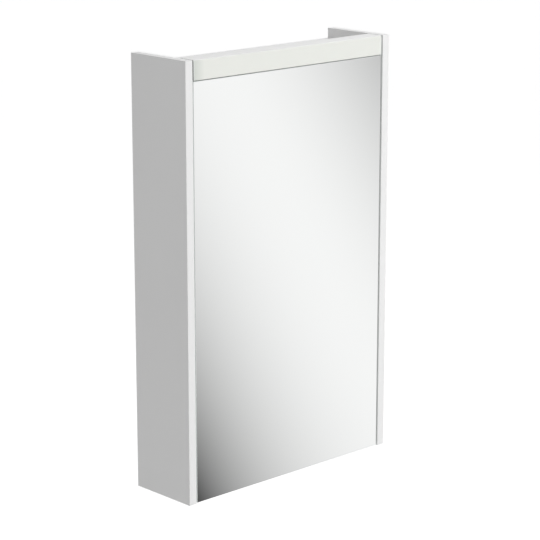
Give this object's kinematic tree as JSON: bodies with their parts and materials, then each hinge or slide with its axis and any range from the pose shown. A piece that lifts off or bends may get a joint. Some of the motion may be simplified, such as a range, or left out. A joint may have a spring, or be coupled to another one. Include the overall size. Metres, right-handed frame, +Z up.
{
  "type": "lighted mirror cabinet",
  "caption": "Wall-hung bathroom cabinet with white board sides, an inset mirror door on concealed hinges, glass shelves and an opal light strip flush above the door.",
  "frame": {"origin": "midway between the two wall screw holes, on the rear plane that meets the wall", "axes": "+Z up, +Y into the wall, the mirror faces -Y, +X to the right seen from the front"},
  "size_m": [0.45, 0.13, 0.72],
  "materials": {
    "side_board": "white melamine facing, fine satin grain",
    "carcass_board": "white melamine facing",
    "back_board": "white lacquered fibreboard",
    "door_board": "white melamine facing",
    "mirror": "silvered float glass, ground edges",
    "opal": "opal acrylic, satin",
    "cap_plastic": "moulded, fine grain",
    "light_aluminium": "anodised",
    "hinge_steel": "nickel plated",
    "fitting_zinc": "zinc plated",
    "beech": "plain beech",
    "shelf_glass": "clear float glass, ground edges",
    "pin_steel": "polished",
    "bumper_rubber": "translucent silicone",
    "led_board": "white solder mask",
    "led_chip": "clear cast over phosphor",
    "driver_plastic": "moulded, fine grain",
    "lead_sheath": "soft sheath",
    "grommet_rubber": "matt",
    "switch_plastic": "moulded, fine grain",
    "rocker_plastic": "polished",
    "catch_plastic": "moulded",
    "magnet": "sintered ferrite between steel poles"
  },
  "bodies": {
    "cabinet": {"left_side_panel": "side_board", "right_side_panel": "side_board", "top_panel": "carcass_board", "bottom_panel": "carcass_board", "back_panel": "back_board", "hanging_rail": "carcass_board", "upper_shelf": "shelf_glass", "lower_shelf": "shelf_glass", "shelf_pins": "pin_steel", "cam_bolts": "fitting_zinc", "cam_locks": "fitting_zinc", "dowels": "beech", "door_bumpers": "bumper_rubber", "upper_hinge_arm": "hinge_steel", "lower_hinge_arm": "hinge_steel", "upper_hinge_plate": "hinge_steel", "lower_hinge_plate": "hinge_steel", "hinge_plate_screws": "fitting_zinc", "hinge_arm_screws": "fitting_zinc", "catch_housing": "catch_plastic", "catch_magnet": "magnet", "catch_screws": "fitting_zinc", "light_housing": "light_aluminium", "light_diffuser": "opal", "left_end_cap": "cap_plastic", "right_end_cap": "cap_plastic", "led_board": "led_board", "led_chips": "led_chip", "light_screws": "fitting_zinc", "driver_case": "driver_plastic", "driver_inlet_cover": "driver_plastic", "driver_screws": "fitting_zinc", "led_lead": "lead_sheath", "led_lead_grommet": "grommet_rubber", "switch_housing": "switch_plastic", "switch_screws": "fitting_zinc", "switch_lead": "lead_sheath", "switch_lead_grommet": "grommet_rubber"},
    "door": {"door_board": "door_board", "mirror_glass": "mirror", "upper_hinge_cup": "hinge_steel", "lower_hinge_cup": "hinge_steel", "hinge_pins": "pin_steel", "hinge_cup_screws": "fitting_zinc", "strike_plate": "hinge_steel", "strike_screws": "fitting_zinc"},
    "rocker": {"switch_rocker": "rocker_plastic"}
  },
  "joints": [
    {"name": "door_swing", "type": "hinge", "parent": "cabinet", "child": "door", "pos_m": [0.196, -0.1215, -0.3012], "axis": [0, 0, 1], "range_deg": [0, 100]},
    {"name": "rocker_tilt", "type": "hinge", "parent": "cabinet", "child": "rocker", "pos_m": [-0.115, -0.096, 0.016], "axis": [-1, 0, 0], "range_deg": [0, 16]}
  ]
}
